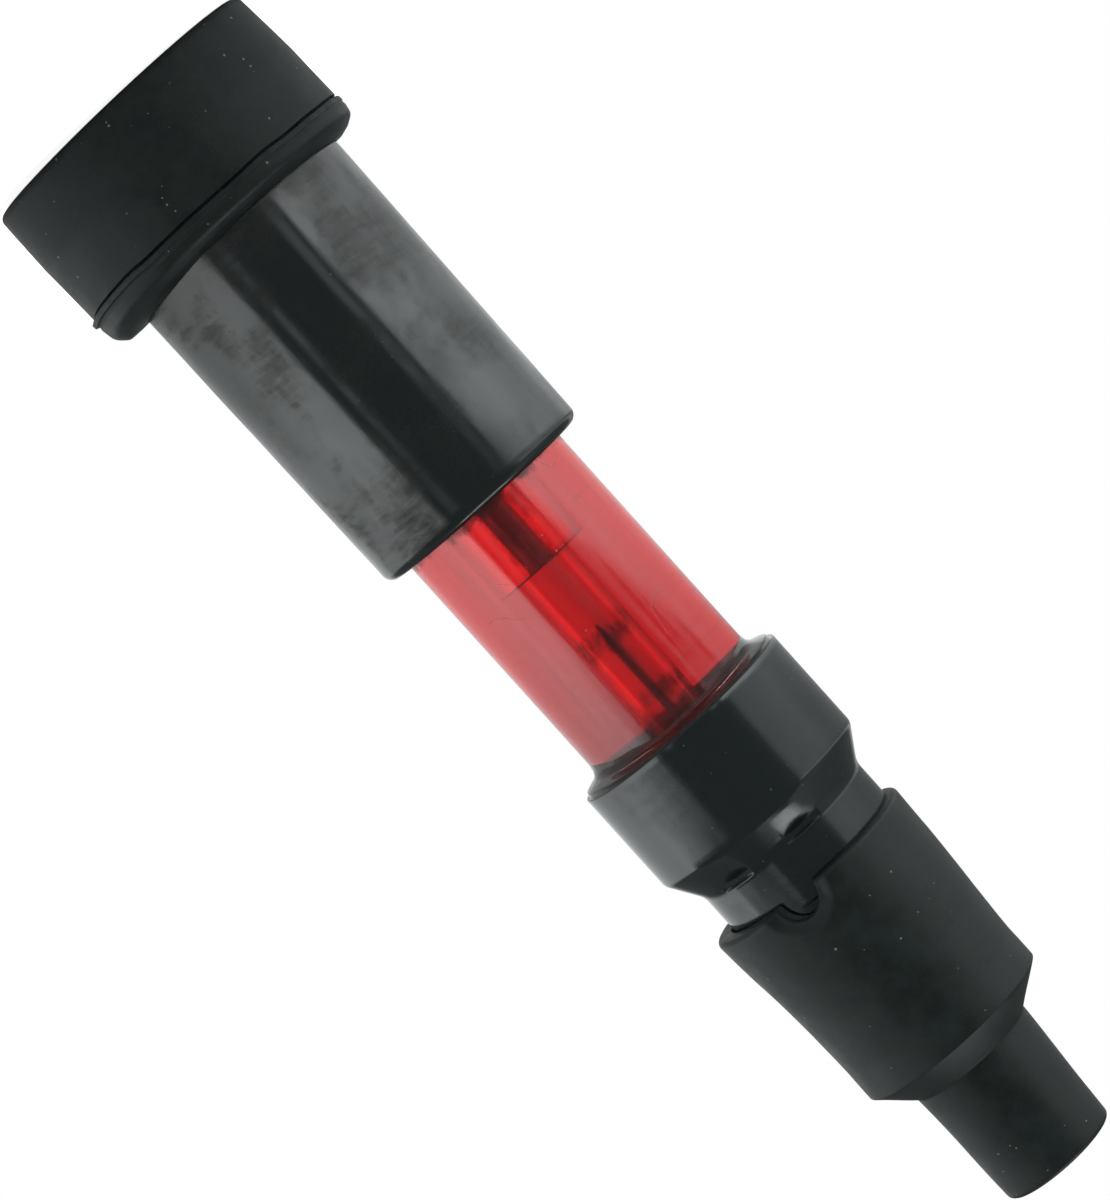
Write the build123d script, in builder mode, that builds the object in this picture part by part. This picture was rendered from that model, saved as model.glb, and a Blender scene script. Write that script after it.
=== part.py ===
"""Straight ignition cap for a small engine: a rubber plug boot, a black plug housing, a clear red
spark window, a black cable housing and a rubber cable boot, with the metal pieces inside them.

Millimetres.  The axis of the cap is Z, the mouth that goes over the spark plug is at Z = 0 and the
cable leaves at the top.  -Y is the side with the key rib and the tool pockets.
"""

from build123d import *
import os

# --- heights along the axis, from the mouth of the plug boot ---------------------------------
SKIRT_DEPTH = 4.6
HOUSING_FOOT = 7.5
BOOT_TOP = 14.6
WEB_BOTTOM = 31.0
WEB_TOP = 35.0
HOUSING_TOP = 42.6
WINDOW_FOOT = 35.4
RESISTOR_TOP = 49.35
BORE_END = 49.4
COLLAR_BOTTOM = 65.9
WINDOW_TOP = 70.0
CABLE_WEB_TOP = 72.5
COLLAR_TOP = 75.2
NECK_BOTTOM = 78.0
CABLE_BOOT_BOTTOM = 81.5
NECK_STEP = 83.5
SPIGOT_BOTTOM = 86.0
SPIGOT_TOP = 95.5
SHOULDER = 99.2
NOZZLE_BOTTOM = 101.9
TOTAL_LENGTH = 112.8

# --- radii ------------------------------------------------------------------------------------
SKIRT_RADIUS = 13.1
LIP_RADIUS = 13.3
HOUSING_FOOT_RADIUS = 10.3
HOUSING_TOP_RADIUS = 10.02
SPIGOT_RADIUS = 10.25
INSULATOR_BORE = 6.0
SEAL_BORE = 5.0
WINDOW_RADIUS = 7.92
WINDOW_BORE = 2.95
GAP_BORE = 1.7
COLLAR_RADIUS = 9.93
NECK_RADIUS = 8.15
CABLE_SPIGOT_RADIUS = 7.0
LEAD_BORE = 3.7
LEAD_GRIP = 3.4
SHOULDER_RADIUS = 8.6
NOZZLE_RADIUS = 5.6
NOZZLE_TIP_RADIUS = 5.25

# --- clearances -------------------------------------------------------------------------------
SLIDE_CLEARANCE = 0.05
END_GAP = 0.05

# --- plug terminal (quarter-inch nut) and its thread -------------------------------------------
TERMINAL_BORE = 3.2
TERMINAL_RADIUS = 4.2
TERMINAL_MOUTH = 20.5
TERMINAL_FLOOR = 29.4
TERMINAL_BASE_RADIUS = 4.6
CLIP_HEIGHT = 24.0
CLIP_WIRE = 0.4
CLIP_RADIUS = 4.35
SHANK_RADIUS = 2.45
SHANK_TOP = 35.3
INSERT_RADIUS = 4.0

# --- places around the axis, in degrees from +X -------------------------------------------------
KEY_ANGLE = -81.0
NOTCH_ANGLE = -74.5
POCKET_ANGLES = (-100.0, -49.5, 80.0, 130.5)

os.makedirs("parts", exist_ok=True)


def ring_outline(inner, outer, bottom, top):
    """A rectangular section in the XZ plane, from one radius to another between two heights."""
    with BuildSketch(Plane.XZ) as section:
        with BuildLine():
            Polyline((inner, bottom), (outer, bottom), (outer, top), (inner, top), close=True)
        make_face()
    return section.sketch


# =================================================================================================
# Plug boot: the rubber skirt over the plug.  Its floor seals on the plug's insulator and its
# upper half grips the housing.
# =================================================================================================
MOUTH_ROUND = 0.7
SKIRT_BORE = 9.6
SEAL_TOP = HOUSING_FOOT - END_GAP
GROOVE_HEIGHT = 11.0
LIP_TOP = 11.6
BOOT_BORE = SPIGOT_RADIUS + SLIDE_CLEARANCE

with BuildPart() as plug_boot:
    with BuildSketch(Plane.XZ):
        with BuildLine():
            mouth = Polyline(
                (SEAL_BORE, SEAL_TOP),
                (SEAL_BORE, SKIRT_DEPTH),
                (SKIRT_BORE, SKIRT_DEPTH),
                (SKIRT_BORE, 0),
                (SKIRT_RADIUS - 0.15 - MOUTH_ROUND, 0),
                (SKIRT_RADIUS - 0.15, MOUTH_ROUND),
            )
            skirt = ThreePointArc(
                mouth @ 1,
                (SKIRT_RADIUS, GROOVE_HEIGHT * 0.6),
                (SKIRT_RADIUS - 0.1, GROOVE_HEIGHT - 0.2),
            )
            lip = Polyline(
                skirt @ 1,
                (SKIRT_RADIUS - 0.35, GROOVE_HEIGHT),
                (LIP_RADIUS, GROOVE_HEIGHT + 0.15),
                (LIP_RADIUS, LIP_TOP),
                (SKIRT_RADIUS + 0.05, LIP_TOP + 0.15),
            )
            bead = ThreePointArc(lip @ 1, (12.6, 13.5), (BOOT_BORE + 0.25, BOOT_TOP))
            Polyline(
                bead @ 1,
                (BOOT_BORE, BOOT_TOP),
                (BOOT_BORE, SEAL_TOP),
                (SEAL_BORE, SEAL_TOP),
            )
        make_face()
    revolve(axis=Axis.Z)
    seal_edges = plug_boot.edges().filter_by(GeomType.CIRCLE).filter_by(
        lambda edge: abs(edge.radius - SEAL_BORE) < 0.01
    )
    chamfer(seal_edges, 0.5)

# =================================================================================================
# Plug housing: the black moulded barrel.  A web splits it into the insulator bore below and the
# socket that holds the red window above.
# =================================================================================================
SOCKET_RADIUS = 8.1
HOUSING_ROUND = 0.6
SPIGOT_TOP_HEIGHT = BOOT_TOP - 0.1

with BuildPart() as plug_housing:
    with BuildSketch(Plane.XZ):
        with BuildLine():
            Polyline(
                (INSULATOR_BORE, HOUSING_FOOT),
                (SPIGOT_RADIUS - 0.5, HOUSING_FOOT),
                (SPIGOT_RADIUS, HOUSING_FOOT + 0.8),
                (SPIGOT_RADIUS, SPIGOT_TOP_HEIGHT),
                (HOUSING_FOOT_RADIUS, SPIGOT_TOP_HEIGHT + 0.15),
                (HOUSING_TOP_RADIUS, HOUSING_TOP),
                (SOCKET_RADIUS, HOUSING_TOP),
                (SOCKET_RADIUS, WEB_TOP),
                (INSERT_RADIUS, WEB_TOP),
                (INSERT_RADIUS, WEB_BOTTOM),
                (INSULATOR_BORE, WEB_BOTTOM),
                close=True,
            )
        make_face()
    revolve(axis=Axis.Z)
    rim_edges = plug_housing.edges().filter_by(GeomType.CIRCLE).group_by(Axis.Z)[-1]
    fillet(rim_edges.sort_by(SortBy.RADIUS)[-1], HOUSING_ROUND)
    mouth_edges = plug_housing.edges().filter_by(GeomType.CIRCLE).group_by(Axis.Z)[0]
    chamfer(mouth_edges.sort_by(SortBy.RADIUS)[0], 0.6)

# =================================================================================================
# Terminal: a slotted brass socket that snaps over the plug's terminal nut and screws into a
# threaded insert, with a wire clip round its fingers.
# =================================================================================================
FINGER_SLOT_WIDTH = 0.8
FINGER_SLOT_TOP = 28.2
CLIP_GROOVE_DEPTH = 0.35
CLIP_GROOVE_HEIGHT = 1.0
DRIVER_SLOT_WIDTH = 0.9
DRIVER_SLOT_DEPTH = 0.7

with BuildPart() as terminal_socket:
    with BuildSketch(Plane.XZ):
        with BuildLine():
            Polyline(
                (0, TERMINAL_FLOOR),
                (TERMINAL_BORE, TERMINAL_FLOOR),
                (TERMINAL_BORE, TERMINAL_MOUTH + 0.4),
                (TERMINAL_BORE + 0.4, TERMINAL_MOUTH),
                (TERMINAL_RADIUS, TERMINAL_MOUTH),
                (TERMINAL_RADIUS, TERMINAL_FLOOR),
                (TERMINAL_BASE_RADIUS, TERMINAL_FLOOR),
                (TERMINAL_BASE_RADIUS, WEB_BOTTOM - END_GAP),
                (SHANK_RADIUS, WEB_BOTTOM - END_GAP),
                (SHANK_RADIUS, SHANK_TOP - 0.4),
                (SHANK_RADIUS - 0.4, SHANK_TOP),
                (0, SHANK_TOP),
                close=True,
            )
        make_face()
    revolve(axis=Axis.Z)
    groove_section = ring_outline(
        TERMINAL_RADIUS - CLIP_GROOVE_DEPTH,
        TERMINAL_RADIUS + 1,
        CLIP_HEIGHT - CLIP_GROOVE_HEIGHT / 2,
        CLIP_HEIGHT + CLIP_GROOVE_HEIGHT / 2,
    )
    revolve(groove_section, axis=Axis.Z, mode=Mode.SUBTRACT)
    with BuildSketch(Plane.XY.offset(TERMINAL_MOUTH)):
        Rectangle(3 * TERMINAL_RADIUS, FINGER_SLOT_WIDTH)
        Rectangle(FINGER_SLOT_WIDTH, 3 * TERMINAL_RADIUS)
    extrude(amount=FINGER_SLOT_TOP - TERMINAL_MOUTH, mode=Mode.SUBTRACT)
    with BuildSketch(Plane.XY.offset(TERMINAL_FLOOR)):
        Rectangle(2 * TERMINAL_BORE - 0.6, DRIVER_SLOT_WIDTH)
    extrude(amount=DRIVER_SLOT_DEPTH, mode=Mode.SUBTRACT)

CLIP_OPENING = 60

with BuildPart() as terminal_clip:
    with BuildLine(Plane.XY.offset(CLIP_HEIGHT)) as clip_path:
        CenterArc((0, 0), CLIP_RADIUS, CLIP_OPENING / 2, 360 - CLIP_OPENING)
    with BuildSketch(clip_path.line ^ 0):
        Circle(CLIP_WIRE)
    sweep()

with BuildPart() as terminal_insert:
    insert_section = ring_outline(
        SHANK_RADIUS + SLIDE_CLEARANCE, INSERT_RADIUS, WEB_BOTTOM, WEB_TOP
    )
    revolve(insert_section, axis=Axis.Z)

# =================================================================================================
# Contact spring and suppressor resistor, in the lower bore of the window.
# =================================================================================================
SPRING_WIRE = 0.25
SPRING_RADIUS = 2.2
SPRING_BOTTOM = SHANK_TOP + END_GAP + SPRING_WIRE
SPRING_TOP = 39.5
SPRING_TURNS = 5
RESISTOR_FOOT = SPRING_TOP + SPRING_WIRE + END_GAP
CAP_RADIUS = 2.85
CAP_WALL = 0.3
PLUG_END_CAP_LENGTH = 1.6
GAP_END_CAP_LENGTH = 7.2
CORE_RADIUS = CAP_RADIUS - CAP_WALL

with BuildPart() as contact_spring:
    with BuildLine() as spring_path:
        Helix(
            pitch=(SPRING_TOP - SPRING_BOTTOM) / SPRING_TURNS,
            height=SPRING_TOP - SPRING_BOTTOM,
            radius=SPRING_RADIUS,
            center=(0, 0, SPRING_BOTTOM),
        )
    with BuildSketch(spring_path.line ^ 0):
        Circle(SPRING_WIRE)
    sweep(is_frenet=True)

with BuildPart() as resistor_core:
    with BuildSketch(Plane.XY.offset(RESISTOR_FOOT + CAP_WALL)):
        Circle(CORE_RADIUS)
    extrude(amount=RESISTOR_TOP - RESISTOR_FOOT - 2 * CAP_WALL)

with BuildPart() as resistor_cap_plug_end:
    with BuildSketch(Plane.XY.offset(RESISTOR_FOOT)):
        Circle(CAP_RADIUS)
    extrude(amount=PLUG_END_CAP_LENGTH)
    with BuildSketch(Plane.XY.offset(RESISTOR_FOOT + CAP_WALL)):
        Circle(CORE_RADIUS)
    extrude(amount=PLUG_END_CAP_LENGTH, mode=Mode.SUBTRACT)

with BuildPart() as resistor_cap_gap_end:
    with BuildSketch(Plane.XY.offset(RESISTOR_TOP - GAP_END_CAP_LENGTH)):
        Circle(CAP_RADIUS)
    extrude(amount=GAP_END_CAP_LENGTH)
    with BuildSketch(Plane.XY.offset(RESISTOR_TOP - GAP_END_CAP_LENGTH)):
        Circle(CORE_RADIUS)
    extrude(amount=GAP_END_CAP_LENGTH - CAP_WALL, mode=Mode.SUBTRACT)

# =================================================================================================
# Red window: a clear red tube.  The spark jumps in its narrow bore, between the resistor's end cap
# and the pointed electrode.
# =================================================================================================
HEAD_POCKET_RADIUS = 3.4
HEAD_POCKET_BOTTOM = 67.6
FILM_TOP = HOUSING_TOP - 0.4

with BuildPart() as indicator_window:
    with BuildSketch(Plane.XZ):
        with BuildLine():
            Polyline(
                (WINDOW_BORE, WINDOW_FOOT),
                (WINDOW_RADIUS, WINDOW_FOOT),
                (WINDOW_RADIUS, WINDOW_TOP),
                (HEAD_POCKET_RADIUS, WINDOW_TOP),
                (HEAD_POCKET_RADIUS, HEAD_POCKET_BOTTOM),
                (GAP_BORE, HEAD_POCKET_BOTTOM),
                (GAP_BORE, BORE_END),
                (WINDOW_BORE, BORE_END),
                close=True,
            )
        make_face()
    revolve(axis=Axis.Z)

with BuildPart() as socket_cement:
    with BuildSketch(Plane.XZ):
        with BuildLine():
            Polyline(
                (INSERT_RADIUS + 1, WEB_TOP),
                (SOCKET_RADIUS, WEB_TOP),
                (SOCKET_RADIUS, FILM_TOP),
                (WINDOW_RADIUS, FILM_TOP),
                (WINDOW_RADIUS, WINDOW_FOOT),
                (INSERT_RADIUS + 1, WINDOW_FOOT),
                close=True,
            )
        make_face()
    revolve(axis=Axis.Z)

FILLET_BOTTOM = 63.9
FILLET_RADIUS = COLLAR_RADIUS - 0.3

with BuildPart() as window_cement:
    with BuildSketch(Plane.XZ):
        with BuildLine():
            flare = TangentArc(
                (WINDOW_RADIUS, FILLET_BOTTOM),
                (FILLET_RADIUS, COLLAR_BOTTOM),
                tangent=(0, 1),
            )
            Polyline(flare @ 1, (WINDOW_RADIUS, COLLAR_BOTTOM), flare @ 0)
        make_face()
    revolve(axis=Axis.Z)

# =================================================================================================
# Cable housing: the glossy black end, with a collar, a waist with tool pockets and a spigot for
# the cable boot.
# =================================================================================================
WINDOW_FIT = WINDOW_RADIUS + 0.05
SCREW_HOLE = 1.65
POCKET_WIDTH = 3.6
POCKET_HEIGHT = 1.0
POCKET_DEPTH = 0.9
POCKET_MIDDLE = 77.4
KEY_WIDTH = 3.0
KEY_PROUD = 0.35
KEY_TOP = 83.0
LEAD_IN = 0.6

with BuildPart() as cable_housing:
    with BuildSketch(Plane.XZ):
        with BuildLine():
            Polyline(
                (WINDOW_FIT, COLLAR_BOTTOM),
                (COLLAR_RADIUS - 0.15, COLLAR_BOTTOM),
                (COLLAR_RADIUS, COLLAR_BOTTOM + 0.15),
                (COLLAR_RADIUS, COLLAR_TOP),
                (NECK_RADIUS, NECK_BOTTOM),
                (NECK_RADIUS, NECK_STEP),
                (CABLE_SPIGOT_RADIUS, SPIGOT_BOTTOM),
                (CABLE_SPIGOT_RADIUS, SPIGOT_TOP - LEAD_IN),
                (CABLE_SPIGOT_RADIUS - LEAD_IN, SPIGOT_TOP),
                (LEAD_BORE + LEAD_IN, SPIGOT_TOP),
                (LEAD_BORE, SPIGOT_TOP - LEAD_IN),
                (LEAD_BORE, CABLE_WEB_TOP),
                (SCREW_HOLE, CABLE_WEB_TOP),
                (SCREW_HOLE, WINDOW_TOP),
                (WINDOW_FIT, WINDOW_TOP),
                close=True,
            )
        make_face()
    revolve(axis=Axis.Z)
    shoulder_edges = cable_housing.edges().filter_by(GeomType.CIRCLE).filter_by(
        lambda edge: abs(edge.arc_center.Z - COLLAR_TOP) < 0.01
    )
    fillet(shoulder_edges, 0.5)
    waist_edges = cable_housing.edges().filter_by(GeomType.CIRCLE).filter_by(
        lambda edge: abs(edge.arc_center.Z - NECK_BOTTOM) < 0.01
    )
    fillet(waist_edges, 0.6)
    key_height = KEY_TOP - COLLAR_TOP - 1
    with Locations(Rotation(0, 0, KEY_ANGLE)):
        with Locations((NECK_RADIUS, 0, KEY_TOP - key_height)):
            Box(
                2 * KEY_PROUD,
                KEY_WIDTH,
                key_height,
                align=(Align.CENTER, Align.CENTER, Align.MIN),
            )
    for angle in POCKET_ANGLES:
        with Locations(Rotation(0, 0, angle)):
            with Locations((NECK_RADIUS + 0.3, 0, POCKET_MIDDLE)):
                Box(2 * POCKET_DEPTH, POCKET_WIDTH, POCKET_HEIGHT, mode=Mode.SUBTRACT)

# =================================================================================================
# Cable screw: the brass wood screw that bites into the core of the lead.  Its head holds the
# pointed electrode and clamps on a washer under the cable housing's web.
# =================================================================================================
HEAD_RADIUS = 3.2
HEAD_BOTTOM = 68.2
WASHER_BOTTOM = 69.6
SCREW_CORE = 1.2
SCREW_SHANK = 1.6
SCREW_TIP = 84.5
THREAD_BOTTOM = 73.4
THREAD_TOP = 82.0
THREAD_PITCH = 1.6
THREAD_CREST = 2.1
ELECTRODE_RADIUS = 0.4
ELECTRODE_TIP = 55.8
ELECTRODE_SEAT = 69.2

with BuildPart() as cable_screw:
    with BuildSketch(Plane.XZ):
        with BuildLine():
            Polyline(
                (0, ELECTRODE_SEAT),
                (ELECTRODE_RADIUS, ELECTRODE_SEAT),
                (ELECTRODE_RADIUS, HEAD_BOTTOM),
                (HEAD_RADIUS, HEAD_BOTTOM),
                (HEAD_RADIUS, WASHER_BOTTOM),
                (SCREW_SHANK, WASHER_BOTTOM),
                (SCREW_SHANK, CABLE_WEB_TOP),
                (SCREW_CORE, THREAD_BOTTOM - 0.4),
                (SCREW_CORE, THREAD_TOP),
                (0, SCREW_TIP),
                close=True,
            )
        make_face()
    revolve(axis=Axis.Z)
    with BuildLine() as thread_path:
        Helix(
            pitch=THREAD_PITCH,
            height=THREAD_TOP - THREAD_BOTTOM,
            radius=SCREW_CORE,
            center=(0, 0, THREAD_BOTTOM),
        )
    thread_plane = Plane(
        origin=thread_path.line @ 0, x_dir=(1, 0, 0), z_dir=thread_path.line % 0
    )
    with BuildSketch(thread_plane):
        with BuildLine():
            Polyline((-0.3, -0.45), (-0.3, 0.45), (THREAD_CREST - SCREW_CORE, 0), close=True)
        make_face()
    sweep(path=thread_path.line, is_frenet=True)

with BuildPart() as screw_washer:
    washer_section = ring_outline(SCREW_SHANK + 0.1, HEAD_RADIUS, WASHER_BOTTOM, WINDOW_TOP)
    revolve(washer_section, axis=Axis.Z)

with BuildPart() as gap_electrode:
    with BuildSketch(Plane.XZ):
        with BuildLine():
            Polyline(
                (0, ELECTRODE_TIP),
                (0.1, ELECTRODE_TIP),
                (ELECTRODE_RADIUS, ELECTRODE_TIP + 2.0),
                (ELECTRODE_RADIUS, ELECTRODE_SEAT),
                (0, ELECTRODE_SEAT),
                close=True,
            )
        make_face()
    revolve(axis=Axis.Z)

# =================================================================================================
# Cable boot: the tapered rubber boot that seals the lead to the cable housing.
# =================================================================================================
RIM_RADIUS = 9.5
NECK_SOCKET = NECK_RADIUS + SLIDE_CLEARANCE
SPIGOT_SOCKET = CABLE_SPIGOT_RADIUS + SLIDE_CLEARANCE
BOOT_FLOOR = SPIGOT_TOP + 0.3
NOTCH_RADIUS = 2.1
KEYWAY_TOP = KEY_TOP + 0.6

with BuildPart() as cable_boot:
    with BuildSketch(Plane.XZ):
        with BuildLine():
            rim = Polyline(
                (NECK_SOCKET, CABLE_BOOT_BOTTOM),
                (RIM_RADIUS - 0.5, CABLE_BOOT_BOTTOM),
                (RIM_RADIUS, CABLE_BOOT_BOTTOM + 0.5),
            )
            flank = ThreePointArc(rim @ 1, (8.85, 92.0), (SHOULDER_RADIUS, SHOULDER - 2.5))
            nozzle = Polyline(
                flank @ 1,
                (SHOULDER_RADIUS, SHOULDER),
                (NOZZLE_RADIUS, NOZZLE_BOTTOM),
                (NOZZLE_TIP_RADIUS, TOTAL_LENGTH - 0.4),
                (NOZZLE_TIP_RADIUS - 0.4, TOTAL_LENGTH),
                (LEAD_GRIP, TOTAL_LENGTH),
                (LEAD_GRIP, BOOT_FLOOR),
                (SPIGOT_SOCKET, BOOT_FLOOR),
                (SPIGOT_SOCKET, SPIGOT_BOTTOM + 0.1),
                (NECK_SOCKET, NECK_STEP + 0.1),
                (NECK_SOCKET, CABLE_BOOT_BOTTOM),
            )
        make_face()
    revolve(axis=Axis.Z)
    with Locations(Rotation(0, 0, NOTCH_ANGLE)):
        with Locations(Location((RIM_RADIUS, 0, CABLE_BOOT_BOTTOM), (0, 90, 0))):
            Cylinder(NOTCH_RADIUS, 3.4, mode=Mode.SUBTRACT)
    with Locations(Rotation(0, 0, KEY_ANGLE)):
        with Locations((NECK_SOCKET, 0, CABLE_BOOT_BOTTOM)):
            Box(
                2 * KEY_PROUD + 0.2,
                KEY_WIDTH + 0.4,
                KEYWAY_TOP - CABLE_BOOT_BOTTOM,
                align=(Align.CENTER, Align.CENTER, Align.MIN),
                mode=Mode.SUBTRACT,
            )

# =================================================================================================
# Labels and files
# =================================================================================================
plug_boot.part.label = "plug_boot"
plug_housing.part.label = "plug_housing"
terminal_socket.part.label = "terminal_socket"
terminal_clip.part.label = "terminal_clip"
terminal_insert.part.label = "terminal_insert"
contact_spring.part.label = "contact_spring"
resistor_core.part.label = "resistor_core"
resistor_cap_plug_end.part.label = "resistor_cap_plug_end"
resistor_cap_gap_end.part.label = "resistor_cap_gap_end"
indicator_window.part.label = "indicator_window"
socket_cement.part.label = "socket_cement"
window_cement.part.label = "window_cement"
cable_housing.part.label = "cable_housing"
cable_screw.part.label = "cable_screw"
screw_washer.part.label = "screw_washer"
gap_electrode.part.label = "gap_electrode"
cable_boot.part.label = "cable_boot"

export_step(plug_boot.part, "parts/plug_boot.step")
export_step(plug_housing.part, "parts/plug_housing.step")
export_step(terminal_socket.part, "parts/terminal_socket.step")
export_step(terminal_clip.part, "parts/terminal_clip.step")
export_step(terminal_insert.part, "parts/terminal_insert.step")
export_step(contact_spring.part, "parts/contact_spring.step")
export_step(resistor_core.part, "parts/resistor_core.step")
export_step(resistor_cap_plug_end.part, "parts/resistor_cap_plug_end.step")
export_step(resistor_cap_gap_end.part, "parts/resistor_cap_gap_end.step")
export_step(indicator_window.part, "parts/indicator_window.step")
export_step(socket_cement.part, "parts/socket_cement.step")
export_step(window_cement.part, "parts/window_cement.step")
export_step(cable_housing.part, "parts/cable_housing.step")
export_step(cable_screw.part, "parts/cable_screw.step")
export_step(screw_washer.part, "parts/screw_washer.step")
export_step(gap_electrode.part, "parts/gap_electrode.step")
export_step(cable_boot.part, "parts/cable_boot.step")
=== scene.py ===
"""Straight spark plug cap with a clear red spark window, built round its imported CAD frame.

The axis of the cap is Z: the mouth of the plug boot is on the floor, the cable nozzle on top.
Outlines are in millimetres, as (radius, height, corner radius), and become metres in turned().
"""

import math

import bpy
from mathutils import Matrix, Vector, noise


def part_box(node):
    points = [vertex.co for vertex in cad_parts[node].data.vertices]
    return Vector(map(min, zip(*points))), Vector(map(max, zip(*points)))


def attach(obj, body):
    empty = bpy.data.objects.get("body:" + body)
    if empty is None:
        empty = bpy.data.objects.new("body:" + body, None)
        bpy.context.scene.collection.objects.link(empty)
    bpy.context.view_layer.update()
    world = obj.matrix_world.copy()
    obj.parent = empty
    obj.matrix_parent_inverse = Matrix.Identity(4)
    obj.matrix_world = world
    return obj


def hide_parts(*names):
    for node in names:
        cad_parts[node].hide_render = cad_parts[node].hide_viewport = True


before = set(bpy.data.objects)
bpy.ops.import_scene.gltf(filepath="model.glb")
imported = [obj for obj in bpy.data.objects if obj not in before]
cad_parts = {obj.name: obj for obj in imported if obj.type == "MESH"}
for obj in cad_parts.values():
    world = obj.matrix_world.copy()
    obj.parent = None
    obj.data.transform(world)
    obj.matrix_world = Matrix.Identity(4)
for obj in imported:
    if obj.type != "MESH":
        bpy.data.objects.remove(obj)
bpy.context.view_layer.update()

bl_info = {
    "name": "Spark plug cap",
    "version": (1, 0, 0),
    "blender": (4, 5, 0),
    "location": "View3D > Sidebar > Plug Cap",
    "description": "Builds a straight spark plug cap with a red spark window",
    "category": "Add Mesh",
}

MM = 0.001

# Settings of a map range node that eases in and out.
SMOOTH = {"interpolation_type": "SMOOTHSTEP"}


# ---- Sizes that the frame gives, in millimetres ----
def node_size(node):
    """(lowest height, highest height, largest radius) of a CAD node, in millimetres."""
    low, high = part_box(node)
    return low.z / MM, high.z / MM, max(high.x, high.y) / MM


_, BOOT_TOP, BOOT_LIP_RADIUS = node_size("plug_boot")
BARREL_FOOT, BARREL_TOP, BARREL_RADIUS = node_size("plug_housing")
TUBE_FOOT, TUBE_TOP, TUBE_RADIUS = node_size("indicator_window")
RESIN_FOOT, RESIN_TOP, RESIN_RADIUS = node_size("window_cement")
COLLAR_FOOT, SPIGOT_TOP, COLLAR_RADIUS = node_size("cable_housing")
SLEEVE_FOOT, CAP_TOP, SLEEVE_RADIUS = node_size("cable_boot")
INSERT_FOOT, INSERT_TOP, INSERT_RADIUS = node_size("terminal_insert")
_, RESISTOR_TOP, _ = node_size("resistor_cap_gap_end")

# Radii of the holes, which the frame's boxes can't give.
SEAL_BORE = 5.0
SKIRT_BORE = 9.6
INSULATOR_BORE = 6.0
SOCKET_BORE = 8.1
RESISTOR_BORE = 2.95
GAP_BORE = 1.7
SCREW_POCKET = 3.4
SCREW_HOLE = 1.65
LEAD_BORE = 3.7
LEAD_GRIP = 3.4
SLEEVE_BORE = 7.05
# Heights of the steps inside those holes.
SKIRT_DEPTH = 4.6
SCREW_POCKET_FOOT = 67.6
LEAD_FLOOR = 72.5


# ---- Colour and node helpers ----
def linear(colour):
    """An sRGB hex colour such as '#1c2020' as linear red, green and blue."""
    parts = [int(colour[i : i + 2], 16) / 255 for i in (1, 3, 5)]
    return tuple(p / 12.92 if p <= 0.04045 else ((p + 0.055) / 1.055) ** 2.4 for p in parts)


def add_node(tree, kind, inputs=None, **settings):
    """Adds a node with its settings and its inputs.

    An input is a value, a socket that feeds it, or a node whose first output feeds it.
    """
    node = tree.nodes.new(kind)
    for name, value in settings.items():
        setattr(node, name, value)
    for name, value in (inputs or {}).items():
        if isinstance(value, bpy.types.Node):
            value = value.outputs[0]
        if isinstance(value, bpy.types.NodeSocket):
            tree.links.new(value, node.inputs[name])
        else:
            node.inputs[name].default_value = value
    return node


def per_metre(size_mm):
    """The texture scale that gives a pattern of that size, in millimetres."""
    return 1000 / size_mm


def new_material(name):
    """An empty node material, with its tree and the position of each point in metres."""
    material = bpy.data.materials.new(name)
    material.use_nodes = True
    material.node_tree.nodes.clear()
    tree = material.node_tree
    place = add_node(tree, "ShaderNodeTexCoord").outputs["Object"]
    return material, tree, place


def finished(material, shader):
    """The material, ended with its surface shader."""
    add_node(material.node_tree, "ShaderNodeOutputMaterial", {"Surface": shader})
    return material


def distance(tree, value, middle):
    """How far a value is from a middle one, either way."""
    beyond = add_node(tree, "ShaderNodeMath", {0: value, 1: middle}, operation="SUBTRACT")
    return add_node(tree, "ShaderNodeMath", {0: beyond}, operation="ABSOLUTE")


# ---- Mesh helpers ----
def rounded(outline, step, fine, arc_steps=6):
    """A closed outline of (radius, height, corner radius) as points, with rounded corners.

    Straight runs are cut into pieces no longer than step.  Between the two heights of fine they
    are no longer than its third value.  All are in millimetres.
    """
    corners = [Vector((r, z)) for r, z, _ in outline]
    points = []
    for index, (_, _, round_radius) in enumerate(outline):
        here = corners[index]
        before = (corners[index - 1] - here).normalized()
        after = (corners[(index + 1) % len(corners)] - here).normalized()
        if round_radius <= 0:
            points.append(here)
            continue
        half = math.acos(max(-1, min(1, before.dot(after)))) / 2
        reach = round_radius / math.tan(half)
        middle = here + (before + after).normalized() * (round_radius / math.sin(half))
        start = here + before * reach - middle
        end = here + after * reach - middle
        for turn in range(arc_steps + 1):
            direction = start.lerp(end, turn / arc_steps).normalized()
            points.append(middle + direction * round_radius)
    cut = []
    for index, point in enumerate(points):
        following = points[(index + 1) % len(points)]
        longest = step
        if fine[0] < point.y < fine[1] or fine[0] < following.y < fine[1]:
            longest = fine[2]
        pieces = max(1, math.ceil((following - point).length / longest))
        cut.extend(point.lerp(following, piece / pieces) for piece in range(pieces))
    return cut


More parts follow.
